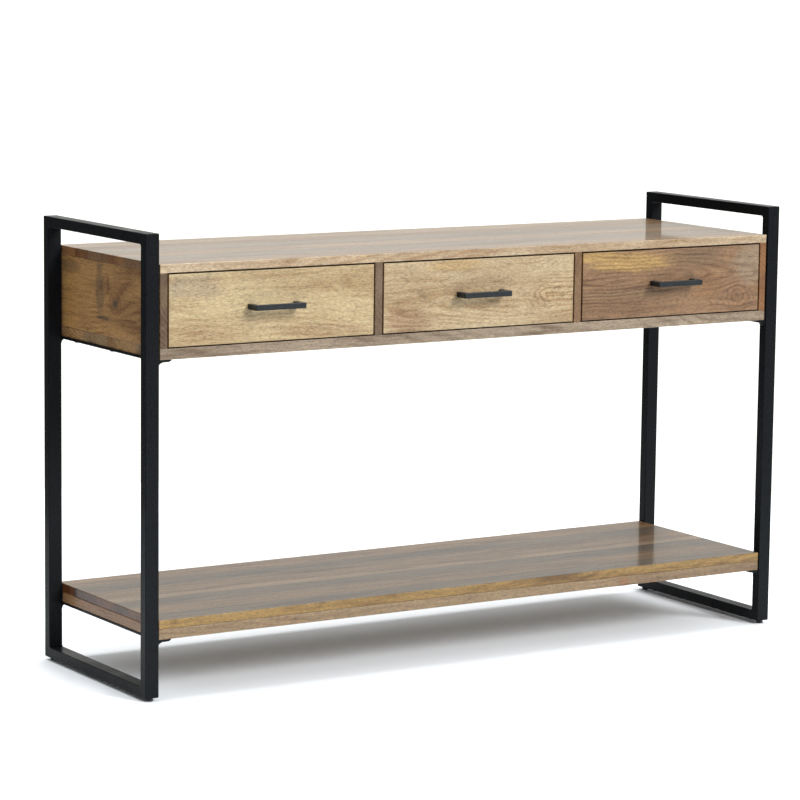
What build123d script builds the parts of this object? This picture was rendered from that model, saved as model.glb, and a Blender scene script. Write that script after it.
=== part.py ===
from build123d import *
import os

# Console table: two welded steel end frames carry a wooden case with three drawers and a lower shelf.
# Millimetres. +X runs along the table, +Y to the rear, +Z up. The origin is on the floor, under the
# centre of the whole footprint, pulls included.

# ---- Driving dimensions ----

# Overall
length = 1321.0            # across both end frames
frame_depth = 382.0        # front to rear of an end frame
height = 787.0             # floor to the top of the end frames

# End frames: mitred loops of rectangular steel tube
tube_width = 25.4          # along X
tube_thickness = 18.5      # in the plane of the loop
tube_wall = 1.5
tube_radius = 1.2          # outer long edges

# Foot glides
foot_height = 6.0
foot_radius = 6.0
foot_edge = 0.8
stem_radius = 3.0
stem_length = 8.0
stem_clearance = 0.05      # radial, in the tube

# Flat bars welded across the inner faces of the frames
bar_width = 24.0
bar_thickness = 4.0
bar_setback = 1.8          # from the front and rear faces of the uprights

# Screws that hold the wood down on the bars
screw_radius = 2.5
screw_bite = 13.0          # length in the wood
screw_end_distance = 54.0  # from the ends of a bar to its outer screws, three to a bar
screw_clearance = 0.25     # radial, in the bars
pan_head_radius = 6.0
pan_head_height = 3.8
pan_head_edge = 1.6
flat_head_radius = 5.0

# Case
frame_rise = 51.5          # top of the frames above the top face of the case
bay_height = 125.8         # clear height of a drawer opening
top_thickness = 15.0
bottom_thickness = 18.5
side_thickness = 14.0
divider_thickness = 15.0
back_thickness = 6.0
case_end_gap = 2.2         # between the case and each frame
case_setback = 1.8         # behind the uprights' faces, front and rear

# Shelf: a board on a hollow rim of strips
shelf_top_height = 137.5   # floor to the top face
board_thickness = 15.5
rim_height = 18.0
rim_thickness = 18.0
shelf_end_gap = 1.0
shelf_setback = 2.0

# Drawers
drawer_names = ["left", "centre", "right"]
front_thickness = 16.0
front_side_gap = 2.5
front_top_gap = 2.5
front_bottom_gap = 2.0
box_rear_room = 36.0       # behind the box, when shut
box_lift = 14.0            # box above the floor of its bay
box_headroom = 20.0        # above the box
box_wall = 12.0
panel_thickness = 5.0      # drawer bottom
panel_lift = 8.0           # drawer bottom above the lower edge of the box
groove_depth = 5.0

# Telescopic slides, one each side of a drawer
slide_thickness = 12.7     # bay wall to box wall
slide_height = 35.0
slide_inset = 4.0          # behind the drawer front
slide_rear_inset = 16.0    # ahead of the rear of the box
slide_clearance = 0.4      # between members
slide_gauge = 1.2
race_gauge = 2.8           # flange with its ball row
case_member_depth = 9.5
middle_member_start = 3.0
middle_member_end = 9.0
box_member_start = 5.0

# Pulls
pull_length = 98.0
pull_projection = 28.0
pull_height = 9.5
pull_bar_depth = 8.0
pull_leg_width = 10.0
pull_edge = 1.0
pull_screw_radius = 2.0
pull_screw_bite = 9.0
pull_screw_clearance = 0.3   # radial, in the drawer front
pull_thread_clearance = 0.05 # radial, in the leg
pull_head_radius = 4.0
pull_head_height = 2.4

# ---- Places worked out from them ----

pull_overhang = pull_projection - case_setback
frame_front = pull_overhang / 2 - frame_depth / 2
frame_rear = frame_front + frame_depth
frame_middle = (frame_front + frame_rear) / 2
frame_inner_x = length / 2 - tube_width

case_front = frame_front + case_setback
case_rear = frame_rear - case_setback
case_end = frame_inner_x - case_end_gap
case_top_height = height - frame_rise
bay_ceiling = case_top_height - top_thickness
bay_floor = bay_ceiling - bay_height
case_underside = bay_floor - bottom_thickness
divider_rear = case_rear - back_thickness

bay_width = (2 * (case_end - side_thickness) - 2 * divider_thickness) / 3
bay_pitch = bay_width + divider_thickness

shelf_front = frame_front + shelf_setback
shelf_rear = frame_rear - shelf_setback
shelf_end = frame_inner_x - shelf_end_gap
rim_top = shelf_top_height - board_thickness
rim_bottom = rim_top - rim_height

bar_front = frame_front + bar_setback
bar_rear = frame_rear - bar_setback
screw_rows = [bar_front + screw_end_distance, frame_middle, bar_rear - screw_end_distance]
screw_x = frame_inner_x - bar_width / 2

box_front = case_front + front_thickness
box_rear = divider_rear - box_rear_room
box_bottom = bay_floor + box_lift
box_top = bay_ceiling - box_headroom
slide_front = box_front + slide_inset
slide_rear = box_rear - slide_rear_inset
slide_middle_z = (box_bottom + box_top) / 2

parts = {}


def block(x0, x1, y0, y1, z0, z1):
    """A rectangular solid between two corners."""
    size = Box(x1 - x0, y1 - y0, z1 - z0, align=(Align.MIN, Align.MIN, Align.MIN))
    return Pos(x0, y0, z0) * size


def upright_rod(x, y, z0, z1, radius):
    """A round solid along Z."""
    rod = Cylinder(radius, z1 - z0, align=(Align.CENTER, Align.CENTER, Align.MIN))
    return Pos(x, y, z0) * rod


def level_rod(x, y0, y1, z, radius):
    """A round solid along Y."""
    rod = Cylinder(radius, y1 - y0, align=(Align.CENTER, Align.CENTER, Align.MIN))
    return Pos(x, y0, z) * Rot(-90, 0, 0) * rod


def group(solids):
    """Separate identical solids kept as one node."""
    return Compound(children=list(solids))


# ---- End frames ----


def slab_across(points, x0, x1):
    """An outline in the plane of the loop, given thickness along X."""
    outline = Polyline([(x0, y, z) for y, z in points], close=True)
    return extrude(make_face(outline), amount=x1 - x0, dir=(1, 0, 0))


def loop_corners(inset):
    """The four corners of the loop, moved in from its outer edge."""
    y0, y1 = frame_front + inset, frame_rear - inset
    z0, z1 = foot_height + inset, height - inset
    return [(y0, z0), (y0, z1), (y1, z1), (y1, z0)]


def frame_tube(x0, start, along):
    """One side of the loop, mitred at both ends, from corner number start to the next one."""

    def side(outer_inset, inner_inset):
        outer, inner = loop_corners(outer_inset), loop_corners(inner_inset)
        end = (start + 1) % 4
        return [outer[start], outer[end], inner[end], inner[start]]

    skin = slab_across(side(0, tube_thickness), x0, x0 + tube_width)
    skin = fillet(skin.edges().filter_by(along), tube_radius)
    bore = side(tube_wall, tube_thickness - tube_wall)
    return skin - slab_across(bore, x0 + tube_wall, x0 + tube_width - tube_wall)


foot_rows = [frame_front + tube_thickness / 2, frame_rear - tube_thickness / 2]
foot_x = length / 2 - tube_width / 2

for hand, x0 in (("left", -length / 2), ("right", frame_inner_x)):
    parts[hand + "_front_upright"] = frame_tube(x0, 0, Axis.Z)
    parts[hand + "_top_rail"] = frame_tube(x0, 1, Axis.Y)
    parts[hand + "_rear_upright"] = frame_tube(x0, 2, Axis.Z)
    rail = frame_tube(x0, 3, Axis.Y)
    for y in foot_rows:
        hole = stem_radius + stem_clearance
        rail -= upright_rod(x0 + tube_width / 2, y, 0, foot_height + tube_wall, hole)
    parts[hand + "_bottom_rail"] = rail


def foot(x, y):
    """A glide pad with its stem pressed into the tube."""
    pad = upright_rod(x, y, 0, foot_height, foot_radius)
    pad = fillet(pad.edges().sort_by(Axis.Z)[0], foot_edge)
    return pad + upright_rod(x, y, foot_height, foot_height + stem_length, stem_radius)


parts["foot_glides"] = group(foot(x, y) for x in (-foot_x, foot_x) for y in foot_rows)

# ---- Bars and their screws ----


def pan_head_screw(x, y, seat):
    """A screw up into the wood from below, its head under seat, the bar's underside."""
    head = upright_rod(x, y, seat - pan_head_height, seat, pan_head_radius)
    head = fillet(head.edges().sort_by(Axis.Z)[0], pan_head_edge)
    return head + upright_rod(x, y, seat, seat + bar_thickness + screw_bite, screw_radius)


def flat_head_screw(x, y, seat):
    """A countersunk screw up into the wood, its head flush with the bar's underside."""
    cone_height = flat_head_radius - screw_radius
    cone = Cone(flat_head_radius, screw_radius, cone_height, align=(Align.CENTER, Align.CENTER, Align.MIN))
    shank = upright_rod(x, y, seat, seat + bar_thickness + screw_bite, screw_radius)
    return Pos(x, y, seat) * cone + shank


def flat_bar(hand, underside):
    """A flat bar along Y, against the inner face of a frame."""
    x0, x1 = sorted((hand * frame_inner_x, hand * (frame_inner_x - bar_width)))
    bar = block(x0, x1, bar_front, bar_rear, underside, underside + bar_thickness)
    for y in screw_rows:
        hole = screw_radius + screw_clearance
        bar -= upright_rod(hand * screw_x, y, underside, underside + bar_thickness, hole)
    return bar


case_bar_underside = case_underside - bar_thickness
shelf_bar_underside = rim_bottom - bar_thickness
case_screws = [pan_head_screw(h * screw_x, y, case_bar_underside) for h in (-1, 1) for y in screw_rows]
shelf_screws = [flat_head_screw(h * screw_x, y, shelf_bar_underside) for h in (-1, 1) for y in screw_rows]
parts["case_screws"] = group(case_screws)
parts["shelf_screws"] = group(shelf_screws)

for name, hand in (("left", -1), ("right", 1)):
    parts[name + "_case_bar"] = flat_bar(hand, case_bar_underside)
    bar = flat_bar(hand, shelf_bar_underside)
    for screw in shelf_screws:
        bar -= screw
    parts[name + "_shelf_bar"] = bar

# ---- Case ----

case_bottom = block(-case_end, case_end, case_front, case_rear, case_underside, bay_floor)
for screw in case_screws:
    case_bottom -= screw
parts["case_bottom"] = case_bottom
parts["case_top"] = block(-case_end, case_end, case_front, case_rear, bay_ceiling, case_top_height)

side_inner = case_end - side_thickness
parts["case_left_side"] = block(-case_end, -side_inner, case_front, case_rear, bay_floor, bay_ceiling)
parts["case_right_side"] = block(side_inner, case_end, case_front, case_rear, bay_floor, bay_ceiling)
parts["case_back"] = block(-side_inner, side_inner, divider_rear, case_rear, bay_floor, bay_ceiling)

for name, hand in (("left", -1), ("right", 1)):
    middle = hand * bay_pitch / 2
    x0, x1 = middle - divider_thickness / 2, middle + divider_thickness / 2
    parts[name + "_divider"] = block(x0, x1, case_front, divider_rear, bay_floor, bay_ceiling)

# ---- Shelf ----

rim_inner_x = shelf_end - rim_thickness
rim_inner_front = shelf_front + rim_thickness
rim_inner_rear = shelf_rear - rim_thickness
parts["shelf_board"] = block(-shelf_end, shelf_end, shelf_front, shelf_rear, rim_top, shelf_top_height)
parts["shelf_front_rim"] = block(-shelf_end, shelf_end, shelf_front, rim_inner_front, rim_bottom, rim_top)
parts["shelf_rear_rim"] = block(-shelf_end, shelf_end, rim_inner_rear, shelf_rear, rim_bottom, rim_top)
for name, hand in (("left", -1), ("right", 1)):
    x0, x1 = sorted((hand * rim_inner_x, hand * shelf_end))
    rim = block(x0, x1, rim_inner_front, rim_inner_rear, rim_bottom, rim_top)
    for screw in shelf_screws:
        rim -= screw
    parts["shelf_" + name + "_rim"] = rim

# ---- Slides ----


def slide_member(wall_x, inward, start, end, web_at_start, half_height, flange):
    """A channel along Y. start and end are distances from the bay wall at wall_x."""
    z0, z1 = slide_middle_z - half_height, slide_middle_z + half_height

    def strip(near, far, low, high):
        x0, x1 = sorted((wall_x + inward * near, wall_x + inward * far))
        return block(x0, x1, slide_front, slide_rear, low, high)

    web_start = start if web_at_start else end - slide_gauge
    web = strip(web_start, web_start + slide_gauge, z0, z1)
    return web + strip(start, end, z0, z0 + flange) + strip(start, end, z1 - flange, z1)


case_member_half = slide_height / 2
middle_member_half = case_member_half - slide_gauge - slide_clearance
box_member_half = middle_member_half - race_gauge - slide_clearance


def slide_pair(x0, x1, start, end, web_at_start, half_height, flange):
    """The same member on both walls of a bay."""
    return group(
        slide_member(wall, inward, start, end, web_at_start, half_height, flange)
        for wall, inward in ((x0, 1), (x1, -1))
    )


# ---- Drawers ----


def pull(x, z):
    """A square bar on two legs, in front of the drawer front."""
    y0 = case_front - pull_projection
    x0, x1 = x - pull_length / 2, x + pull_length / 2
    z0, z1 = z - pull_height / 2, z + pull_height / 2
    solid = block(x0, x1, y0, case_front, z0, z1)
    solid = fillet(solid.edges().filter_by(Axis.Z).group_by(Axis.Y)[0], pull_edge)
    gap = block(x0 + pull_leg_width, x1 - pull_leg_width, y0 + pull_bar_depth, case_front, z0, z1)
    solid -= gap
    for leg in pull_leg_rows(x):
        thread = pull_screw_radius + pull_thread_clearance
        solid -= level_rod(leg, case_front - pull_screw_bite, case_front, z, thread)
    return solid


def pull_leg_rows(x):
    """The middles of the two legs of the pull at x."""
    reach = pull_length / 2 - pull_leg_width / 2
    return (x - reach, x + reach)


def pull_screw(x, z):
    """A screw from inside the drawer, through its front, into a leg of the pull."""
    shank = level_rod(x, case_front - pull_screw_bite, box_front, z, pull_screw_radius)
    return shank + level_rod(x, box_front, box_front + pull_head_height, z, pull_head_radius)


def drawer(name, x):
    """All pieces of the drawer whose bay is centred on x."""
    bay_x0, bay_x1 = x - bay_width / 2, x + bay_width / 2
    front_z0, front_z1 = bay_floor + front_bottom_gap, bay_ceiling - front_top_gap
    front_z = (front_z0 + front_z1) / 2
    box_x0, box_x1 = bay_x0 + slide_thickness, bay_x1 - slide_thickness
    panel_z0 = box_bottom + panel_lift
    panel_z1 = panel_z0 + panel_thickness

    panel = block(
        box_x0 + box_wall - groove_depth,
        box_x1 - box_wall + groove_depth,
        box_front - groove_depth,
        box_rear,
        panel_z0,
        panel_z1,
    )
    front_x0, front_x1 = bay_x0 + front_side_gap, bay_x1 - front_side_gap
    front = block(front_x0, front_x1, case_front, box_front, front_z0, front_z1) - panel
    for leg in pull_leg_rows(x):
        hole = pull_screw_radius + pull_screw_clearance
        front -= level_rod(leg, case_front, box_front, front_z, hole)

    parts[name + "_drawer_front"] = front
    parts[name + "_drawer_bottom"] = panel
    parts[name + "_drawer_left_side"] = (
        block(box_x0, box_x0 + box_wall, box_front, box_rear, box_bottom, box_top) - panel
    )
    parts[name + "_drawer_right_side"] = (
        block(box_x1 - box_wall, box_x1, box_front, box_rear, box_bottom, box_top) - panel
    )
    parts[name + "_drawer_back"] = block(
        box_x0 + box_wall, box_x1 - box_wall, box_rear - box_wall, box_rear, panel_z1, box_top
    )
    parts[name + "_pull"] = pull(x, front_z)
    parts[name + "_pull_screws"] = group(pull_screw(leg, front_z) for leg in pull_leg_rows(x))

    parts[name + "_case_slides"] = slide_pair(
        bay_x0, bay_x1, 0, case_member_depth, True, case_member_half, slide_gauge
    )
    parts[name + "_middle_slides"] = slide_pair(
        bay_x0, bay_x1, middle_member_start, middle_member_end, True, middle_member_half, race_gauge
    )
    parts[name + "_box_slides"] = slide_pair(
        bay_x0, bay_x1, box_member_start, slide_thickness, False, box_member_half, race_gauge
    )


for number, name in enumerate(drawer_names):
    drawer(name, (number - 1) * bay_pitch)

# ---- Files ----

os.makedirs("parts", exist_ok=True)
for name, shape in parts.items():
    export_step(shape, "parts/" + name + ".step")
print(len(parts), "nodes")
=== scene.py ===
"""Looks of the console table: black steel end frames, a wooden case with three drawers, and a low shelf."""
import math

import bmesh
import bpy
from mathutils import Matrix, Vector, noise


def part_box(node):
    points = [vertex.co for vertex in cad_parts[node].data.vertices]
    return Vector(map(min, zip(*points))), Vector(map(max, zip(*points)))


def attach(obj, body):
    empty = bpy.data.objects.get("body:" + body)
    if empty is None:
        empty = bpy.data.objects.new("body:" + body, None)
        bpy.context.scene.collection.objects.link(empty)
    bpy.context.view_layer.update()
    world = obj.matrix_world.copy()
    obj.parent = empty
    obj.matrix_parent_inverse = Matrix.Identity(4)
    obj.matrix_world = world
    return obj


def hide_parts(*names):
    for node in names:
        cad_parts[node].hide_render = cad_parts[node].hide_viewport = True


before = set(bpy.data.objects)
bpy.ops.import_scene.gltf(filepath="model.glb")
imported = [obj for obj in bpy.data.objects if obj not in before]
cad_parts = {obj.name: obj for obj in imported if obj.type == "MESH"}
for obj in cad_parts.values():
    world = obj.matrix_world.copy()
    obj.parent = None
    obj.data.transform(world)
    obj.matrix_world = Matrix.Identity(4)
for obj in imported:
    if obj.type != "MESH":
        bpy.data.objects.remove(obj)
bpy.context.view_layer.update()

# Lengths are in metres, in the frame of the CAD model: X along the table, -Y its front, Z up.
MM = 0.001

# Camera, at the angle that the table was photographed from.
CAMERA_PLACE = Vector((-3.1512, -4.9296, 1.2872))
CAMERA_YAW = 32.15              # degrees from +Y towards +X
CAMERA_PITCH = 8.19             # degrees down
CAMERA_ROLL = 0.69              # degrees
CAMERA_LENS = 147.35            # millimetres, on a sensor of CAMERA_SENSOR
CAMERA_SENSOR = 36.0            # millimetres

# Boards.
WOOD_EASE = 1.1 * MM            # rounded edges
WOOD_STEP = 26 * MM             # length of the faces along a board
WOOD_WAVE = 0.10 * MM           # how far sanding left the faces from flat
BACK_EASE = 0.5 * MM            # rounded edges of the case back
BOX_EASE = 0.6 * MM             # rounded edges of the drawer boxes
SLIDE_EASE = 0.25 * MM          # rounded edges of the slides

# Steel frames.
TUBE_EASE = 1.3 * MM            # rounded long edges of the tube
LOOP_OUTER = 1.6 * MM           # ground outer corners of a loop
LOOP_INNER = 4.6 * MM           # weld fillet in its inner corners
LOOP_TURNS = 7                  # points round each corner
BAR_EASE = 0.5 * MM             # rounded edges of the bars
BAR_BEVEL_ACROSS = 4.5 * MM     # sheared lower edge of a bar, on its inner side
BAR_BEVEL_UP = 2.4 * MM
WELD_LEG = 9.0 * MM             # fillets under the bars
WELD_RIPPLE = 2.6 * MM          # length of one ripple of a weld
WELD_INSET = 0.6 * MM           # how far a weld stops short at each end

# Screws, glides and pulls.
PAN_RADIUS = 6.0 * MM           # heads of the case screws
FLAT_RADIUS = 5.0 * MM          # heads of the shelf screws
RECESS_HALF = 0.55 * MM         # half the width of a cross recess
GLIDE_RADIUS = 6.0 * MM
PULL_LEG = 10 * MM              # width of a leg of a pull
PULL_BAR = 8 * MM               # depth of its bar
PULL_CORNER = 1.6 * MM          # bends, seen from above
PULL_EASE = 0.8 * MM            # rounded edges

# Studio: the floor's radius, and the lamps' name, strength, spread, azimuth to the left of -Y and elevation.
FLOOR_RADIUS = 1.8
LAMPS = (("softbox", 2.90, 22, -24, 30), ("overhead", 2.05, 18, 180, 86))

# Tones of the wood, as linear albedo.
STRAW = (0.424, 0.328, 0.182)
CREAM = (0.440, 0.340, 0.226)
SAND = (0.406, 0.312, 0.184)
GOLD = (0.400, 0.255, 0.085)
TAN = (0.325, 0.225, 0.125)
HONEY = (0.226, 0.136, 0.038)
AMBER = (0.452, 0.243, 0.080)
HAZEL = (0.228, 0.131, 0.065)
ASH = (0.262, 0.203, 0.140)
DUN = (0.218, 0.153, 0.093)
ROSE = (0.192, 0.128, 0.062)
CLAY = (0.232, 0.122, 0.050)
RUST = (0.210, 0.094, 0.029)
UMBER = (0.130, 0.080, 0.044)
# FAWN, SMOKE, BARK and SLATE are darkened for the tops of the case and the shelf: painted shade, against
# their lighter front edges in CREAM and HONEY.
FAWN = (0.240, 0.155, 0.084)
SMOKE = (0.190, 0.138, 0.090)
BARK = (0.174, 0.100, 0.044)
SLATE = (0.112, 0.076, 0.044)

# Factors on a tone: at the ends of a board, and in the lines of the figure of pale and of dark wood.
END_GRAIN = (0.66, 0.57, 0.50)
PALE_LINES = (0.62, 0.52, 0.42)
DARK_LINES = (0.42, 0.345, 0.275)


# ---------------------------------------------------------------- node trees

class Tree:
    """Writes one node tree. Each method takes sockets or plain values, and gives the socket of its result."""

    def __init__(self, tree):
        self.tree = tree

    def node(self, kind, inputs=None, **settings):
        made = self.tree.nodes.new("ShaderNode" + kind)
        for key, value in settings.items():
            setattr(made, key, value)
        for key, value in (inputs or {}).items():
            self.put(made.inputs[key], value)
        return made

    def put(self, socket, value):
        if isinstance(value, bpy.types.NodeSocket):
            self.tree.links.new(value, socket)
        elif socket.type == "RGBA" and len(value) == 3:
            socket.default_value = (*value, 1.0)
        else:
            socket.default_value = value

    def math(self, operation, a, b=0.0, clamp=False):
        return self.node("Math", {0: a, 1: b}, operation=operation, use_clamp=clamp).outputs[0]

    def line(self, value, slope, start):
        """value * slope + start."""
        return self.node("Math", {0: value, 1: slope, 2: start}, operation="MULTIPLY_ADD").outputs[0]

    def vector(self, operation, a, b=(0.0, 0.0, 0.0)):
        made = self.node("VectorMath", {0: a, 1: b}, operation=operation)
        return made.outputs["Value" if operation in ("LENGTH", "DOT_PRODUCT") else "Vector"]

    def scale(self, vector, factor):
        return self.node("VectorMath", {0: vector, "Scale": factor}, operation="SCALE").outputs[0]

    def noise(self, at, stretch, detail=2.0, rough=0.5, colour=False):
        placed = self.vector("MULTIPLY", at, stretch)
        made = self.node("TexNoise", {"Vector": placed, "Scale": 1.0, "Detail": detail, "Roughness": rough})
        return made.outputs["Color" if colour else "Fac"]

    def step(self, value, low, high, to_low=0.0, to_high=1.0):
        """A smooth step from to_low at low to to_high at high."""
        sockets = {"Value": value, 1: low, 2: high, 3: to_low, 4: to_high}
        return self.node("MapRange", sockets, interpolation_type="SMOOTHSTEP").outputs[0]

    def blend(self, factor, a, b, mode="MIX"):
        made = self.node("Mix", data_type="RGBA", blend_type=mode)
        self.put(made.inputs[0], factor)
        self.put(made.inputs[6], a)
        self.put(made.inputs[7], b)
        return made.outputs[2]


def principled(name, **inputs):
    """A new material with one Principled shader, its tree writer and that shader."""
    material = bpy.data.materials.new(name)
    material.use_nodes = True
    material.node_tree.nodes.clear()
    tree = Tree(material.node_tree)
    shader = tree.node("BsdfPrincipled")
    output = tree.node("OutputMaterial")
    tree.put(output.inputs["Surface"], shader.outputs[0])
    for key, value in inputs.items():
        tree.put(shader.inputs[key.replace("_", " ")], value)
    return material, tree, shader


def set_up_timber():
    """Mango wood figure. At is in metres, its first axis along the grain. Heart is a point on the pith."""
    group = bpy.data.node_groups.new("timber", "ShaderNodeTree")
    for name, kind in (("At", "Vector"), ("Heart", "Vector"), ("Tone", "Color"), ("Lines", "Color")):
        group.interface.new_socket(name, in_out="INPUT", socket_type="NodeSocket" + kind)
    for name, kind in (("Color", "Color"), ("Roughness", "Float"), ("Height", "Float")):
        group.interface.new_socket(name, in_out="OUTPUT", socket_type="NodeSocket" + kind)
    tree = Tree(group)
    given = group.nodes.new("NodeGroupInput").outputs
    result = group.nodes.new("NodeGroupOutput").inputs

    # Each stave reads another place of the same field.
    heart_x = tree.node("SeparateXYZ", {0: given["Heart"]}).outputs[0]
    apart = tree.scale((1.0, 0.37, 0.61), heart_x)
    at = tree.vector("ADD", given["At"], apart)

    # The grain wanders: slow bends and short squiggles across the fibres.
    slow = tree.vector("SUBTRACT", tree.noise(at, (3.0, 9.0, 9.0), 1.0, colour=True), (0.5, 0.5, 0.5))
    quick = tree.vector("SUBTRACT", tree.noise(at, (13.0, 24.0, 24.0), 2.0, colour=True), (0.5, 0.5, 0.5))
    bend = tree.vector("MULTIPLY", slow, (0.0, 0.036, 0.036))
    squiggle = tree.vector("MULTIPLY", quick, (0.0, 0.009, 0.009))
    wander = tree.vector("ADD", bend, squiggle)
    flow = tree.vector("ADD", at, wander)

    broad = tree.noise(flow, (3.0, 22.0, 22.0), 2.0)
    cloud = tree.noise(at, (6.0, 13.0, 13.0), 2.0)
    streak = tree.noise(flow, (6.0, 140.0, 140.0), 5.0, 0.68)
    fibre = tree.noise(flow, (45.0, 700.0, 700.0), 2.0, 0.6)
    ripple = tree.noise(flow, (150.0, 420.0, 420.0), 2.0, 0.6)
    pore = tree.step(tree.noise(flow, (150.0, 1500.0, 1500.0), 0.0), 0.60, 0.74)
    dash = tree.step(tree.noise(flow, (110.0, 480.0, 480.0), 1.0), 0.54, 0.70, 0.0, 0.24)

    # Growth rings round the pith, which leans a little against the board.
    out = tree.vector("ADD", tree.vector("SUBTRACT", given["At"], given["Heart"]), wander)
    parts = tree.node("SeparateXYZ", {0: out}).outputs
    lean = tree.math("MULTIPLY", tree.node("SeparateXYZ", {0: given["At"]}).outputs[0], 0.10)
    leaned = tree.node("CombineXYZ", {1: tree.math("ADD", parts[1], lean), 2: parts[2]}).outputs[0]
    radius = tree.math("MULTIPLY", tree.vector("LENGTH", leaned), 145.0 * 2 * math.pi)
    wave = tree.line(tree.math("SINE", radius), 0.5, 0.5)
    ring = tree.math("MULTIPLY", tree.math("POWER", wave, 2.0), tree.step(cloud, 0.40, 0.62))

    dark = tree.math("ADD", tree.step(streak, 0.42, 0.76, 0.0, 0.70), tree.math("MULTIPLY", ring, 0.45))
    dark = tree.math("ADD", dark, tree.step(broad, 0.44, 0.70, 0.0, 0.60), clamp=True)
    colour = tree.blend(dark, given["Tone"], tree.blend(1.0, given["Tone"], given["Lines"], "MULTIPLY"))
    pale = tree.step(cloud, 0.52, 0.72, 0.0, 0.7)
    colour = tree.blend(pale, colour, tree.blend(1.0, colour, (1.13, 1.13, 1.12), "MULTIPLY"))
    shade = tree.math("MULTIPLY", tree.line(ripple, 1.10, 0.49), tree.line(fibre, 0.50, 0.75))
    shade = tree.math("MULTIPLY", shade, tree.math("SUBTRACT", 1.0, tree.math("MULTIPLY", pore, 0.32)))
    shade = tree.math("MULTIPLY", shade, tree.math("SUBTRACT", 1.0, dash))
    tree.put(result["Color"], tree.scale(colour, shade))

    rough = tree.line(streak, 0.22, 0.36)
    tree.put(result["Roughness"], tree.math("ADD", rough, tree.math("MULTIPLY", pore, 0.12)))
    height = tree.math("SUBTRACT", tree.math("MULTIPLY", fibre, 0.5), tree.math("MULTIPLY", pore, 0.8))
    tree.put(result["Height"], tree.math("ADD", height, tree.math("MULTIPLY", streak, 0.5)))
    return group


TIMBER = set_up_timber()
GRAIN_ORDER = {"X": (0, 1, 2), "Y": (1, 0, 2), "Z": (2, 0, 1)}


def reorder(point, grain):
    """A point of the row frame with its first axis along the grain."""
    return tuple(point[axis] for axis in GRAIN_ORDER[grain])


def timber(name, grain, tone=None, heart=(0.0, 0.0, 0.0), knots=(), patches=(), coat=0.5, gloss=0.13,
           ends=END_GRAIN, lines=PALE_LINES, shine=0.35):
    """Wood whose tone and pith come from the mesh's staves, or from tone and heart where it has none.
    knots are (centre, size, strength of the dark core, whether it is a tongue of the figure)."""
    material, tree, shader = principled(name, Coat_Weight=coat, Coat_Roughness=gloss,
                                        Specular_IOR_Level=shine)
    place = tree.node("TexCoord").outputs["Object"]
    split = tree.node("SeparateXYZ", {0: place}).outputs
    at = tree.node("CombineXYZ", {k: split[axis] for k, axis in enumerate(GRAIN_ORDER[grain])}).outputs[0]
    if tone is None:
        tone = tree.node("Attribute", attribute_name="tone").outputs["Color"]
        heart = tree.node("Attribute", attribute_name="heart").outputs["Vector"]
    for centre, radii, colour, strength in patches:
        away = tree.vector("SUBTRACT", at, reorder(centre, grain))
        away = tree.vector("MULTIPLY", away, tuple(1.0 / r for r in reorder(radii, grain)))
        ragged = tree.noise(at, (14.0, 70.0, 70.0), 3.0, 0.6)
        distance = tree.math("ADD", tree.vector("LENGTH", away), tree.math("MULTIPLY", ragged, 1.6))
        tone = tree.blend(tree.step(distance, 1.35, 2.1, strength, 0.0), tone, colour)
    for centre, size, core, tongue in knots:
        away = tree.vector("SUBTRACT", at, reorder(centre, grain))
        reach = tree.vector("MINIMUM", away, (0.0, 1.0, 1.0)) if tongue else away
        distance = tree.vector("LENGTH", tree.vector("MULTIPLY", reach, (0.8 / size, 1.0 / size, 1.0 / size)))
        distance = tree.math("ADD", distance, tree.line(tree.noise(at, (20.0, 45.0, 45.0)), 0.8, -0.4))
        near = tree.step(distance, 0.0, 3.2, 1.0, 0.0)
        push = tree.scale(tree.vector("MULTIPLY", away, (0.0, 1.0, 1.0)), tree.math("MULTIPLY", near, -0.75))
        at = tree.vector("ADD", at, push)
        rings = tree.step(tree.math("SINE", tree.math("MULTIPLY", distance, 10.0)), -0.3, 1.0, 0.0, 0.9)
        shaded = tree.blend(1.0, tone, (0.64, 0.53, 0.42), "MULTIPLY")
        tone = tree.blend(tree.math("MULTIPLY", rings, near), tone, shaded)
        from_rim = tree.math("ABSOLUTE", tree.math("SUBTRACT", distance, 1.15))
        halo = tree.step(from_rim, 0.0, 0.4, 0.6 * core, 0.0)
        tone = tree.blend(tree.step(distance, 0.35, 0.95, 0.85 * core, 0.0), tone, UMBER)
        tone = tree.blend(halo, tone, RUST)
    normal = tree.node("NewGeometry").outputs["Normal"]
    along = tree.math("ABSOLUTE", tree.node("SeparateXYZ", {0: normal}).outputs["XYZ".index(grain)])
    figure = tree.tree.nodes.new("ShaderNodeGroup")
    figure.node_tree = TIMBER
    for key, value in (("At", at), ("Heart", heart), ("Tone", tone), ("Lines", lines)):
        tree.put(figure.inputs[key], value)
    colour = figure.outputs["Color"]
    colour = tree.blend(tree.step(along, 0.5, 0.9), colour, tree.blend(1.0, colour, ends, "MULTIPLY"))
    bump = tree.node("Bump", {"Strength": 0.45, "Distance": 0.35 * MM, "Height": figure.outputs["Height"]})
    tree.put(shader.inputs["Base Color"], colour)
    tree.put(shader.inputs["Roughness"], figure.outputs["Roughness"])
    tree.put(shader.inputs["Normal"], bump.outputs[0])
    return material


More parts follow.
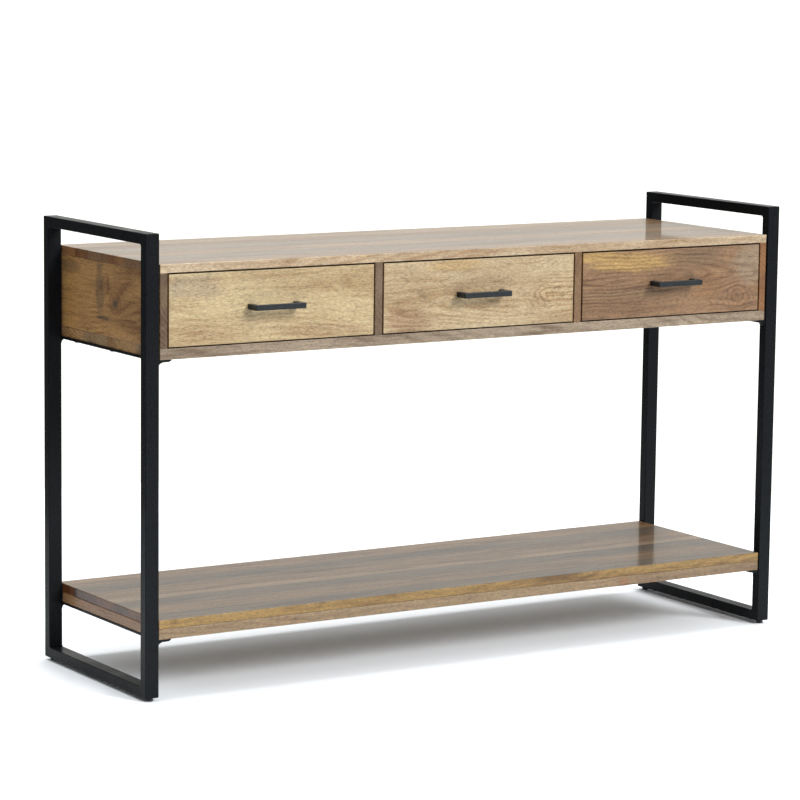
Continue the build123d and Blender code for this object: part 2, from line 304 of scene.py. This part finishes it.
def coated_steel(name, colour, rough, shine):
    """Powder coat: a fine orange peel, with the gloss drifting a little over the surface."""
    material, tree, shader = principled(name, Specular_IOR_Level=shine)
    at = tree.node("TexCoord").outputs["Object"]
    peel = tree.noise(at, (700.0, 700.0, 700.0), 2.0, 0.55)
    drift = tree.noise(at, (14.0, 14.0, 9.0), 3.0, 0.6)
    speck = tree.step(tree.noise(at, (420.0, 420.0, 420.0), 1.0), 0.40, 0.70)
    tree.put(shader.inputs["Base Color"], tree.blend(speck, colour, tuple(1.5 * c for c in colour)))
    tree.put(shader.inputs["Roughness"], tree.step(drift, 0.3, 0.7, rough - 0.05, rough + 0.05))
    bump = tree.node("Bump", {"Strength": 0.18, "Distance": 0.15 * MM, "Height": peel})
    tree.put(shader.inputs["Normal"], bump.outputs[0])
    return material


def bare_steel(name, colour, rough, roll):
    """Zinc plated steel, with the fine lines that rolling leaves along roll."""
    material, tree, shader = principled(name, Metallic=1.0)
    at = tree.node("TexCoord").outputs["Object"]
    stretch = [900.0, 900.0, 900.0]
    stretch["XYZ".index(roll)] = 30.0
    line = tree.noise(at, tuple(stretch), 3.0, 0.6)
    cloud = tree.noise(at, (35.0, 35.0, 35.0), 3.0, 0.6)
    dulled = tuple(c * k for c, k in zip(colour, (0.8, 0.83, 0.9)))
    tint = tree.blend(tree.step(cloud, 0.35, 0.7), colour, dulled)
    tree.put(shader.inputs["Base Color"], tint)
    tree.put(shader.inputs["Roughness"], tree.step(line, 0.3, 0.7, rough - 0.07, rough + 0.10))
    bump = tree.node("Bump", {"Strength": 0.2, "Distance": 0.1 * MM, "Height": line})
    tree.put(shader.inputs["Normal"], bump.outputs[0])
    return material


def nylon(name, colour, rough):
    """Moulded plastic with a faint grain."""
    material, tree, shader = principled(name, Specular_IOR_Level=0.4)
    at = tree.node("TexCoord").outputs["Object"]
    grain = tree.noise(at, (1500.0, 1500.0, 1500.0), 2.0)
    cloud = tree.noise(at, (90.0, 90.0, 90.0), 2.0)
    tree.put(shader.inputs["Base Color"], tree.blend(cloud, colour, tuple(1.6 * c for c in colour)))
    tree.put(shader.inputs["Roughness"], tree.step(cloud, 0.3, 0.7, rough - 0.06, rough + 0.06))
    bump = tree.node("Bump", {"Strength": 0.25, "Distance": 0.1 * MM, "Height": grain})
    tree.put(shader.inputs["Normal"], bump.outputs[0])
    return material


# ---------------------------------------------------------------- meshes

def add_piece(name, bm, material, body, nodes, smooth=True):
    """Turns bm into a piece that rides on body and stands for the CAD nodes. smooth keeps flat faces flat."""
    bmesh.ops.recalc_face_normals(bm, faces=bm.faces)
    mesh = bpy.data.meshes.new(name)
    bm.to_mesh(mesh)
    bm.free()
    mesh.shade_smooth()
    mesh.materials.append(material)
    piece = bpy.data.objects.new(name, mesh)
    bpy.context.scene.collection.objects.link(piece)
    if smooth:
        flat = piece.modifiers.new("flat faces", "WEIGHTED_NORMAL")
        flat.mode = "FACE_AREA"
        flat.weight = 90
    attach(piece, body)
    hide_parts(*nodes)
    return piece


def box_mesh(lo, hi):
    bm = bmesh.new()
    bmesh.ops.create_cube(bm, size=1.0)
    size = hi - lo
    bmesh.ops.scale(bm, vec=size, verts=bm.verts)
    bmesh.ops.translate(bm, vec=(lo + hi) / 2, verts=bm.verts)
    return bm


def slice_block(bm, axis, places):
    """Cuts edge loops across a mesh at these places on one axis."""
    normal = Vector([float(k == axis) for k in range(3)])
    for place in places:
        everything = bm.verts[:] + bm.edges[:] + bm.faces[:]
        bmesh.ops.bisect_plane(bm, geom=everything, plane_co=normal * place, plane_no=normal, dist=1e-7)


def round_edges(bm, ease, segments=3):
    corners = [e for e in bm.edges if len(e.link_faces) == 2 and e.calc_face_angle() > 0.9]
    bmesh.ops.bevel(bm, geom=corners, offset=ease, segments=segments, profile=0.5, affect="EDGES")


def board(node, grain, across, staves, material, body="root", front=None, ease=WOOD_EASE):
    """A solid board in place of a CAD one. staves are (share of the width, tone, heart) from low to high.
    front is a lighter tone for its front edge, painted light against the darker staves of its top, which
    carry painted shade."""
    lo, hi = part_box(node)
    along, side = "XYZ".index(grain), "XYZ".index(across)
    bm = box_mesh(lo, hi)
    total = sum(share for share, _, _ in staves)
    cuts = []
    reached = lo[side]
    for share, _, _ in staves:
        reached += (hi[side] - lo[side]) * share / total
        cuts.append(reached)
    slice_block(bm, side, cuts[:-1])
    count = max(2, round((hi[along] - lo[along]) / WOOD_STEP))
    slice_block(bm, along, [lo[along] + (hi[along] - lo[along]) * k / count for k in range(1, count)])
    round_edges(bm, ease)
    bm.normal_update()
    centre = (lo + hi) / 2
    for vert in bm.verts:
        depth = WOOD_WAVE * (0.5 + 0.5 * noise.noise(vert.co * 9.0 + Vector((0.0, 0.0, 40.0 * centre.z))))
        vert.co -= vert.normal * max(0.0, depth)
    # The front edge gets its own lighter tone: painted light, with the top's staves painted darker as shade.
    looks = [(tone, heart) for _, tone, heart in staves] + [(front, staves[0][2])]
    which = []
    for face in bm.faces:
        place = face.calc_center_median()[side]
        stave = min(sum(place > cut for cut in cuts), len(staves) - 1)
        which.append(len(staves) if front and face.normal.y < -0.5 else stave)
    piece = add_piece(node + "_timber", bm, material, body, [node])
    paint_staves(piece.data, which, looks, centre, grain)


def paint_staves(mesh, which, looks, centre, grain):
    """Writes each face's stave tone and pith, as the timber material reads them."""
    tone = mesh.attributes.new("tone", "FLOAT_VECTOR", "FACE")
    heart = mesh.attributes.new("heart", "FLOAT_VECTOR", "FACE")
    middle = reorder(centre, grain)
    for index, stave in enumerate(which):
        tone.data[index].vector, (shift, sideways, deep) = looks[stave]
        heart.data[index].vector = (shift, middle[1] + sideways, middle[2] + deep)


def loop_point(lo, hi, inset, radius, corner, turn):
    """A point on a rounded rectangle in the YZ plane: turn goes from 0 to 1 round that corner."""
    y_side, z_side = ((1, 1), (-1, 1), (-1, -1), (1, -1))[corner]
    y = (hi.y if y_side > 0 else lo.y) - y_side * (inset + radius)
    z = (hi.z if z_side > 0 else lo.z) - z_side * (inset + radius)
    angle = (corner + turn) * math.pi / 2
    return y + radius * math.cos(angle), z + radius * math.sin(angle)


def tube_section(width, depth, radius, steps=4):
    """Points of a rounded rectangle: (across, inward), once round."""
    points = []
    for corner, (x_side, d_side) in enumerate(((1, 1), (-1, 1), (-1, -1), (1, -1))):
        for k in range(steps + 1):
            angle = (corner + k / steps) * math.pi / 2
            x = x_side * (width / 2 - radius) + radius * math.cos(angle)
            d = depth / 2 + d_side * (depth / 2 - radius) + radius * math.sin(angle)
            points.append((x, d))
    return points


def frame_loop(side, material):
    """One end frame: four tubes welded into a loop, ground flush outside and filleted inside."""
    nodes = [f"{side}_{part}" for part in ("front_upright", "top_rail", "rear_upright", "bottom_rail")]
    boxes = [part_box(n) for n in nodes]
    lo = Vector([min(b[0][k] for b in boxes) for k in range(3)])
    hi = Vector([max(b[1][k] for b in boxes) for k in range(3)])
    depth = boxes[0][1].y - boxes[0][0].y
    section = tube_section(hi.x - lo.x, depth, TUBE_EASE)
    bm = bmesh.new()
    rings = []
    for x, inset in section:
        radius = LOOP_OUTER + (LOOP_INNER - LOOP_OUTER) * inset / depth
        ring = []
        for corner in range(4):
            for k in range(LOOP_TURNS):
                y, z = loop_point(lo, hi, inset, radius, corner, k / (LOOP_TURNS - 1))
                ring.append(bm.verts.new(((lo.x + hi.x) / 2 + x, y, z)))
        rings.append(ring)
    count = 4 * LOOP_TURNS
    for a, b in zip(rings, rings[1:] + rings[:1]):
        for k in range(count):
            bm.faces.new((a[k], a[(k + 1) % count], b[(k + 1) % count], b[k]))
    return add_piece(f"{side}_frame_loop", bm, material, "root", nodes)


def weld_bead(bm, corner, out, length, leg):
    """A rippled fillet weld along +Y from corner, its legs along out (one unit along X) and down."""
    steps = 14
    arc_steps = 5
    rings = []
    for k in range(steps + 1):
        y = length * k / steps
        swell = 1.0 + 0.10 * math.sin(2 * math.pi * y / WELD_RIPPLE)
        swell *= 1.0 - 0.35 * abs(2 * k / steps - 1) ** 6
        size = leg * swell
        ring = [bm.verts.new((corner.x, corner.y + y, corner.z))]
        for j in range(arc_steps + 1):
            angle = j / arc_steps * math.pi / 2
            dx = size * (1 - 0.92 * math.sin(angle))
            dz = size * (1 - 0.92 * math.cos(angle))
            ring.append(bm.verts.new((corner.x + out * dx, corner.y + y, corner.z - dz)))
        rings.append(ring)
    count = arc_steps + 2
    for a, b in zip(rings, rings[1:]):
        for k in range(count):
            bm.faces.new((a[k], a[(k + 1) % count], b[(k + 1) % count], b[k]))
    bm.faces.new(rings[0])
    bm.faces.new(rings[-1])


def flat_bar(side, level, material):
    """A bar across an end frame that carries wood, with the welds that hold it."""
    node = f"{side}_{level}_bar"
    lo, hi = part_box(node)
    outer, inner, out = (lo.x, hi.x, 1) if side == "left" else (hi.x, lo.x, -1)
    bm = box_mesh(lo, hi)
    slice_block(bm, 0, [inner - out * BAR_BEVEL_ACROSS])
    for vert in bm.verts:
        if abs(vert.co.x - inner) < BAR_EASE and vert.co.z < (lo.z + hi.z) / 2:
            vert.co.z += BAR_BEVEL_UP
    round_edges(bm, BAR_EASE, 2)
    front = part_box(f"{side}_front_upright")
    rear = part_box(f"{side}_rear_upright")
    for start, end in ((lo.y, front[1].y), (rear[0].y, hi.y)):
        corner = Vector((outer, start + WELD_INSET, lo.z))
        weld_bead(bm, corner, out, end - start - 2 * WELD_INSET, WELD_LEG)
    return add_piece(f"{node}_welded", bm, material, "root", [node])


def turned(bm, profile, place, segments=32):
    """Turns a profile of (radius, height) about the vertical through place. The ends are closed."""
    rings = []
    for radius, height in profile:
        ring = []
        for k in range(segments):
            angle = 2 * math.pi * k / segments
            around = Vector((radius * math.cos(angle), radius * math.sin(angle), height))
            ring.append(bm.verts.new(place + around))
        rings.append(ring)
    for a, b in zip(rings, rings[1:]):
        for k in range(segments):
            bm.faces.new((a[k], a[(k + 1) % segments], b[(k + 1) % segments], b[k]))
    bm.faces.new(rings[0])
    bm.faces.new(rings[-1])


def screw_head(name, profile, reach, slot_depth):
    """A screw head with a cross recess that goes reach from its middle, as a mesh to copy.
    Its top is at height 0 and faces -Z."""
    bm = bmesh.new()
    turned(bm, profile, Vector((0, 0, 0)))
    bmesh.ops.recalc_face_normals(bm, faces=bm.faces)
    head = bpy.data.meshes.new(name)
    bm.to_mesh(head)
    bm.free()
    cutter = bmesh.new()
    for across in (Vector((reach, RECESS_HALF, slot_depth)), Vector((RECESS_HALF, reach, slot_depth))):
        arm = bmesh.ops.create_cube(cutter, size=2.0)["verts"]
        bmesh.ops.scale(cutter, vec=across, verts=arm)
    blade = bpy.data.meshes.new(name + "_cutter")
    cutter.to_mesh(blade)
    cutter.free()
    whole = bpy.data.objects.new(name, head)
    tool = bpy.data.objects.new(name + "_cutter", blade)
    for obj in (whole, tool):
        bpy.context.scene.collection.objects.link(obj)
    cut = whole.modifiers.new("recess", "BOOLEAN")
    cut.object = tool
    cut.operation = "DIFFERENCE"
    cut.solver = "EXACT"
    cut.use_self = True
    bpy.context.view_layer.update()
    evaluated = whole.evaluated_get(bpy.context.evaluated_depsgraph_get())
    made = bpy.data.meshes.new_from_object(evaluated)
    for obj in (whole, tool):
        bpy.data.objects.remove(obj)
    return made


def copies(mesh, places, turn=None):
    """One bmesh that holds a copy of mesh at each place, turned first."""
    bm = bmesh.new()
    for place in places:
        start = len(bm.verts)
        bm.from_mesh(mesh)
        bm.verts.ensure_lookup_table()
        added = bm.verts[start:]
        if turn:
            bmesh.ops.transform(bm, matrix=turn, verts=added)
        bmesh.ops.translate(bm, vec=place, verts=added)
    return bm


def arc(x, y, radius, start, sweep, steps=5):
    """Points round (x, y), from start degrees over sweep degrees."""
    angles = [math.radians(start + sweep * k / steps) for k in range(steps + 1)]
    return [(x + radius * math.cos(angle), y + radius * math.sin(angle)) for angle in angles]


def pull_mesh(lo, hi):
    """A square-bar drawer pull: two legs and a bar, bent in plan and rounded along its edges."""
    bm = bmesh.new()
    outline = [(lo.x, hi.y)]
    outline += arc(lo.x + PULL_CORNER, lo.y + PULL_CORNER, PULL_CORNER, 180, 90)
    outline += arc(hi.x - PULL_CORNER, lo.y + PULL_CORNER, PULL_CORNER, 270, 90)
    outline += [(hi.x, hi.y), (hi.x - PULL_LEG, hi.y)]
    bend_y = lo.y + PULL_BAR + PULL_CORNER
    outline += arc(hi.x - PULL_LEG - PULL_CORNER, bend_y, PULL_CORNER, 0, -90)
    outline += arc(lo.x + PULL_LEG + PULL_CORNER, bend_y, PULL_CORNER, -90, -90)
    outline += [(lo.x + PULL_LEG, hi.y)]
    face = bm.faces.new([bm.verts.new((x, y, lo.z)) for x, y in outline])
    lifted = bmesh.ops.extrude_face_region(bm, geom=[face])["geom"]
    raised = [g for g in lifted if isinstance(g, bmesh.types.BMVert)]
    bmesh.ops.translate(bm, vec=(0, 0, hi.z - lo.z), verts=raised)
    level = [e for e in bm.edges if abs(e.verts[0].co.z - e.verts[1].co.z) < 1e-6]
    edges = [e for e in level if min(v.co.y for v in e.verts) < hi.y - 1e-6]
    bmesh.ops.bevel(bm, geom=edges, offset=PULL_EASE, segments=3, profile=0.5, affect="EDGES")
    return bm


# ---------------------------------------------------------------- the table

BLACK = coated_steel("black_powder_coat", (0.0066, 0.0075, 0.0086), 0.30, 0.05)
PULL_BLACK = coated_steel("pull_black", (0.0155, 0.0185, 0.0200), 0.42, 0.20)
SCREW_BLACK = bare_steel("blackened_steel", (0.045, 0.045, 0.048), 0.38, "Z")
ZINC = bare_steel("zinc_plate", (0.66, 0.67, 0.68), 0.34, "Y")
FOOT = nylon("black_nylon", (0.012, 0.012, 0.013), 0.5)


def build_frames():
    for side in ("left", "right"):
        frame_loop(side, BLACK)
        for level in ("case", "shelf"):
            flat_bar(side, level, BLACK)


def build_feet():
    """Nylon glides: a pad with a rounded rim under a narrow neck."""
    lo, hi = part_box("foot_glides")
    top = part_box("left_bottom_rail")[0].z
    neck = GLIDE_RADIUS - 1.6 * MM
    profile = [(GLIDE_RADIUS - 1.2 * MM, 0.0), (GLIDE_RADIUS - 0.4 * MM, 0.25 * MM), (GLIDE_RADIUS, 1.0 * MM),
               (GLIDE_RADIUS, 3.4 * MM), (GLIDE_RADIUS - 0.7 * MM, 4.2 * MM), (neck, 4.5 * MM), (neck, top)]
    bm = bmesh.new()
    for x in (lo.x + GLIDE_RADIUS, hi.x - GLIDE_RADIUS):
        for y in (lo.y + GLIDE_RADIUS, hi.y - GLIDE_RADIUS):
            turned(bm, profile, Vector((x, y, 0.0)))
    add_piece("glides", bm, FOOT, "root", ["foot_glides"])


def screw_places(node, radius):
    """Undersides of three rows of two screws, from the box round them and the radius of their heads."""
    lo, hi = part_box(node)
    rows = (lo.y + radius, (lo.y + hi.y) / 2, hi.y - radius)
    return [Vector((x, y, lo.z)) for x in (lo.x + radius, hi.x - radius) for y in rows]


def build_screws():
    """Pan heads below the case bars, and flat heads let into the shelf bars."""
    pan = [(2.4 * MM, 4.3 * MM), (PAN_RADIUS, 3.8 * MM), (PAN_RADIUS, 3.1 * MM), (5.5 * MM, 1.7 * MM),
           (4.4 * MM, 0.7 * MM), (3.0 * MM, 0.15 * MM), (1.6 * MM, 0.0)]
    head = screw_head("pan_head", pan, 2.6 * MM, 1.9 * MM)
    places = screw_places("case_screws", PAN_RADIUS)
    add_piece("case_screw_heads", copies(head, places), SCREW_BLACK, "root",
              ["case_screws"], smooth=False)
    flat = [(2.4 * MM, 3.0 * MM), (FLAT_RADIUS, 0.25 * MM), (FLAT_RADIUS, 0.0), (3.2 * MM, 0.0)]
    head = screw_head("flat_head", flat, 1.984 * MM, 1.6 * MM)
    places = screw_places("shelf_screws", FLAT_RADIUS)
    add_piece("shelf_screw_heads", copies(head, places), SCREW_BLACK, "root",
              ["shelf_screws"], smooth=False)


def build_case():
    """The boards of the case. Patches of another tone are (centre, radii, tone, strength)."""
    # The top's staves are painted darker than its CREAM front edge: painted shade on the top.
    top = [(0.9, FAWN, (3.1, 0.02, -0.09)), (1.3, SMOKE, (7.7, -0.03, -0.12)),
           (1.0, FAWN, (1.9, 0.05, -0.07)), (1.2, SMOKE, (5.3, 0.0, -0.10)),
           (0.8, BARK, (9.2, 0.04, -0.06)), (1.1, FAWN, (2.6, -0.04, -0.11))]
    top_wood = timber("case_top_wood", "X", coat=0.56, gloss=0.08, shine=0.2, ends=(1.35, 1.0, 0.70))
    board("case_top", "X", "Y", top, top_wood, front=CREAM)
    bottom = [(1.0, ASH, (4.4, 0.02, 0.08)), (1.2, TAN, (8.1, -0.02, 0.11)), (1.0, ASH, (6.6, 0.0, 0.07)),
              (1.1, TAN, (0.7, 0.03, 0.09))]
    bottom_wood = timber("case_bottom_wood", "X", ends=(1.28, 1.04, 0.72), lines=DARK_LINES)
    board("case_bottom", "X", "Y", bottom, bottom_wood)
    at = shares("case_left_side")
    patches = [(at(0, 0.58, 0.65), (0.05, 0.015, 0.048), UMBER, 0.55),
               (at(0, 0.54, 0.24), (0.05, 0.030, 0.004), UMBER, 0.8),
               (at(0, 0.50, 0.72), (0.05, 0.004, 0.018), RUST, 0.5),
               (at(0, 0.90, 0.88), (0.05, 0.05, 0.012), UMBER, 0.5)]
    knot = (at(0, 0.43, 0.47), 13 * MM, 1.0, False)
    side_wood = timber("left_side_wood", "Y", knots=[knot], patches=patches, ends=(0.29, 0.33, 0.48),
                       lines=DARK_LINES)
    board("case_left_side", "Y", "Z", [(1, AMBER, (3.3, 0.05, 0.03))], side_wood)
    right_wood = timber("right_side_wood", "Y", ends=(1.0, 1.0, 1.0))
    board("case_right_side", "Y", "Z", [(1, RUST, (5.9, -0.05, -0.02))], right_wood)
    inner = timber("divider_wood", "Y", ends=(0.78, 0.78, 0.72))
    dull = timber("dull_divider_wood", "Y", ends=(0.66, 0.62, 0.58))
    board("left_divider", "Y", "Z", [(1, DUN, (2.2, 0.05, 0.02))], dull)
    board("right_divider", "Y", "Z", [(1, HAZEL, (6.1, 0.06, -0.01))], inner)
    back = [(1.0, TAN, (1.4, 0.03, 0.02)), (1.0, HAZEL, (4.9, 0.03, -0.03))]
    back_wood = timber("case_back_wood", "X", coat=0.2, gloss=0.3)
    board("case_back", "X", "Z", back, back_wood, ease=BACK_EASE)


def build_shelf():
    """A board of seven staves on a rim of four strips."""
    # The shelf's staves are painted darker than its HONEY front edge: painted shade on its top.
    staves = [(0.9, SLATE, (2.4, 0.01, -0.06)), (1.1, BARK, (6.9, 0.02, -0.09)),
              (1.0, SLATE, (3.8, -0.03, -0.08)), (0.5, FAWN, (9.5, 0.0, -0.07)),
              (1.2, BARK, (1.2, 0.04, -0.10)), (1.0, SLATE, (7.4, -0.02, -0.06)),
              (1.1, BARK, (5.0, 0.03, -0.09))]
    wood = timber("shelf_wood", "X", coat=0.46, gloss=0.12, shine=0.2, lines=DARK_LINES,
                  ends=(0.58, 0.30, 0.08))
    board("shelf_board", "X", "Y", staves, wood, front=HONEY)
    at = shares("shelf_front_rim")
    rim = timber("shelf_rim_wood", "X", knots=[(at(0.78, 0, 0.4), 4 * MM, 0.4, True)],
                 patches=[(at(0.757, 0, 0.45), (0.014, 0.05, 0.009), RUST, 0.8)])
    board("shelf_front_rim", "X", "Y", [(1, ROSE, (8.8, 0.0, 0.05))], rim)
    board("shelf_rear_rim", "X", "Y", [(1, HAZEL, (4.1, 0.0, 0.05))], rim)
    ends = timber("shelf_end_wood", "Y", coat=0.2, ends=(0.95, 0.90, 0.85))
    board("shelf_left_rim", "Y", "X", [(1, CLAY, (2.9, 0.0, 0.04))], ends)
    board("shelf_right_rim", "Y", "X", [(1, CLAY, (7.2, 0.0, 0.04))], ends)


def shares(node):
    """A function that gives points of a node's box by their shares of its size along X, Y and Z."""
    lo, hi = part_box(node)

    def point(*share):
        return Vector([lo[k] + share[k] * (hi[k] - lo[k]) for k in range(3)])

    return point


def front_look(name):
    """Stave look, patches, knots and lines of one drawer front."""
    at = shares(f"{name}_drawer_front")
    if name == "left":
        patches = [(at(0.75, 0, 0.12), (0.09, 0.05, 0.012), TAN, 0.6),
                   (at(0.10, 0, 0.82), (0.06, 0.05, 0.020), ASH, 0.5),
                   (at(0.15, 0, 0.16), (0.05, 0.05, 0.007), TAN, 0.5)]
        return (STRAW, (1.6, 0.0, 0.03)), patches, [], PALE_LINES
    if name == "centre":
        patches = [(at(0.36, 0, 0.92), (0.06, 0.05, 0.011), GOLD, 0.45),
                   (at(0.12, 0, 0.15), (0.05, 0.05, 0.022), HAZEL, 0.6),
                   (at(0.19, 0, 0.54), (0.012, 0.05, 0.008), UMBER, 0.45),
                   (at(0.60, 0, 0.62), (0.12, 0.05, 0.015), TAN, 0.5)]
        tongue = (at(0.86, 0, 0.42), 15 * MM, 0.0, True)
        return (SAND, (4.7, 0.0, -0.02)), patches, [tongue], PALE_LINES
    patches = [(at(0.08, 0, 0.93), (0.06, 0.05, 0.011), GOLD, 0.8),
               (at(0.26, 0, 0.84), (0.10, 0.05, 0.020), GOLD, 0.8),
               (at(0.61, 0, 0.88), (0.06, 0.05, 0.018), UMBER, 0.55),
               (at(0.70, 0, 0.43), (0.035, 0.05, 0.030), RUST, 0.4),
               (at(0.18, 0, 0.36), (0.08, 0.05, 0.009), TAN, 0.6),
               (at(0.96, 0, 0.75), (0.04, 0.05, 0.040), ASH, 0.6)]
    knot = (at(0.88, 0, 0.24), 14 * MM, 0.12, False)
    return (HAZEL, (8.3, 0.02, 0.01)), patches, [knot], DARK_LINES


def build_drawers():
    plain = timber("drawer_box_wood", "Y", tone=SAND, heart=(3.0, 0.2, 0.6), coat=0.15, gloss=0.3)
    back_wood = timber("drawer_back_wood", "X", tone=SAND, heart=(6.0, 0.2, 0.6), coat=0.15, gloss=0.3)
    panel = timber("drawer_panel", "X", tone=TAN, heart=(7.0, 0.1, 0.4), coat=0.1, gloss=0.35)
    low = [(2.2 * MM, 2.35 * MM), (3.9 * MM, 2.35 * MM), (3.9 * MM, 1.5 * MM), (3.2 * MM, 0.5 * MM),
           (2.2 * MM, 0.05 * MM), (1.2 * MM, 0.0)]
    head = screw_head("pull_head", low, 2.6 * MM, 1.1 * MM)
    for name in ("left", "centre", "right"):
        body = f"{name}_drawer"
        look, patches, knots, lines = front_look(name)
        wood = timber(f"{name}_front_wood", "X", patches=patches, knots=knots, lines=lines, coat=0.45,
                      gloss=0.16)
        board(f"{name}_drawer_front", "X", "Z", [(1, *look)], wood, body)
        build_pull(name, body, head)
        for part in ("left_side", "right_side"):
            dress(f"{name}_drawer_{part}", plain, BOX_EASE)
        dress(f"{name}_drawer_back", back_wood, BOX_EASE)
        dress(f"{name}_drawer_bottom", panel, BOX_EASE)
        for part in ("case_slides", "middle_slides", "box_slides"):
            dress(f"{name}_{part}", ZINC, SLIDE_EASE)


def build_pull(name, body, head):
    lo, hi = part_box(f"{name}_pull")
    add_piece(f"{name}_pull_bar", pull_mesh(lo, hi), PULL_BLACK, body, [f"{name}_pull"])
    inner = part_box(f"{name}_pull_screws")
    height = (lo.z + hi.z) / 2
    places = [Vector((x, inner[1].y, height)) for x in (lo.x + PULL_LEG / 2, hi.x - PULL_LEG / 2)]
    facing_back = Matrix.Rotation(math.pi / 2, 4, "X")
    add_piece(f"{name}_pull_screw_heads", copies(head, places, facing_back), ZINC, body,
              [f"{name}_pull_screws"], smooth=False)


def dress(node, material, ease):
    """Keeps a CAD node, and gives it a finish and soft edges."""
    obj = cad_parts[node]
    obj.data.materials.clear()
    obj.data.materials.append(material)
    joined = obj.modifiers.new("joined", "WELD")
    joined.merge_threshold = 0.01 * MM
    eased = obj.modifiers.new("eased", "BEVEL")
    eased.width = ease
    eased.segments = 2
    eased.limit_method = "ANGLE"
    eased.angle_limit = math.radians(35)
    eased.harden_normals = True


# ---------------------------------------------------------------- studio

def build_floor():
    bm = bmesh.new()
    bmesh.ops.create_circle(bm, cap_ends=True, segments=96, radius=FLOOR_RADIUS)
    mesh = bpy.data.meshes.new("floor")
    bm.to_mesh(mesh)
    bm.free()
    floor = bpy.data.objects.new("floor", mesh)
    bpy.context.scene.collection.objects.link(floor)
    material, tree, shader = principled("pale_floor", Specular_IOR_Level=0.2)
    at = tree.node("TexCoord").outputs["Object"]
    cloud = tree.noise(at, (1.5, 1.5, 1.5), 3.0)
    tree.put(shader.inputs["Base Color"], tree.blend(cloud, (0.865, 0.900, 0.935), (0.885, 0.920, 0.955)))
    tree.put(shader.inputs["Roughness"], tree.step(cloud, 0.3, 0.7, 0.6, 0.7))
    mesh.materials.append(material)


def build_lights():
    """A pale room, brighter overhead, behind the table and at its front right, and two soft lamps."""
    world = bpy.data.worlds.new("studio")
    bpy.context.scene.world = world
    world.use_nodes = True
    world.node_tree.nodes.clear()
    tree = Tree(world.node_tree)
    toward = tree.node("TexCoord").outputs["Generated"]
    up = tree.node("SeparateXYZ", {0: toward}).outputs[2]
    behind = tree.vector("DOT_PRODUCT", toward, (0.53, 0.84, 0.1))
    backdrop = tree.step(behind, 0.55, 0.95)
    beside = tree.vector("DOT_PRODUCT", toward, (0.70, -0.65, 0.30))
    light = tree.math("ADD", tree.step(up, 0.10, 0.8, 0.11, 0.85), tree.math("MULTIPLY", backdrop, 0.75))
    light = tree.math("ADD", light, tree.step(beside, 0.3, 0.95, 0.0, 0.55))
    seen = tree.node("LightPath").outputs["Is Camera Ray"]
    level = tree.node("Mix", {0: seen, 2: light, 3: 1.4}, data_type="FLOAT").outputs[0]
    tint = tree.blend(backdrop, (1.0, 1.0, 1.0), (0.96, 0.965, 0.92))
    background = tree.node("Background", {"Color": tint, "Strength": level})
    output = tree.node("OutputWorld")
    tree.put(output.inputs["Surface"], background.outputs[0])
    for name, energy, spread, azimuth, elevation in LAMPS:
        data = bpy.data.lights.new(name, "SUN")
        data.energy = energy
        data.angle = math.radians(spread)
        lamp = bpy.data.objects.new(name, data)
        bpy.context.scene.collection.objects.link(lamp)
        aim(lamp, azimuth, elevation)


def aim(lamp, azimuth, elevation):
    """Points a lamp at the origin from azimuth degrees to the left of -Y, and elevation degrees up."""
    turn = math.radians(azimuth)
    rise = math.radians(elevation)
    back = Vector((-math.sin(turn) * math.cos(rise), -math.cos(turn) * math.cos(rise), math.sin(rise)))
    lamp.location = back * 4.0
    lamp.rotation_mode = "QUATERNION"
    lamp.rotation_quaternion = back.to_track_quat("Z", "Y")


def build_camera():
    data = bpy.data.cameras.new("camera")
    data.lens = CAMERA_LENS
    data.sensor_width = CAMERA_SENSOR
    data.clip_end = 100.0
    camera = bpy.data.objects.new("camera", data)
    bpy.context.scene.collection.objects.link(camera)
    yaw, pitch, roll = (math.radians(v) for v in (CAMERA_YAW, CAMERA_PITCH, CAMERA_ROLL))
    forward = Vector((math.sin(yaw) * math.cos(pitch), math.cos(yaw) * math.cos(pitch), -math.sin(pitch)))
    level = Vector((math.cos(yaw), -math.sin(yaw), 0.0))
    upward = level.cross(forward)
    right = level * math.cos(roll) + upward * math.sin(roll)
    top = -level * math.sin(roll) + upward * math.cos(roll)
    turned_to = Matrix((right, top, -forward)).transposed().to_4x4()
    camera.matrix_world = Matrix.Translation(CAMERA_PLACE) @ turned_to
    bpy.context.scene.camera = camera
    bpy.context.scene.view_settings.view_transform = "Standard"


build_camera()
build_frames()
build_feet()
build_screws()
build_case()
build_shelf()
build_drawers()
build_floor()
build_lights()
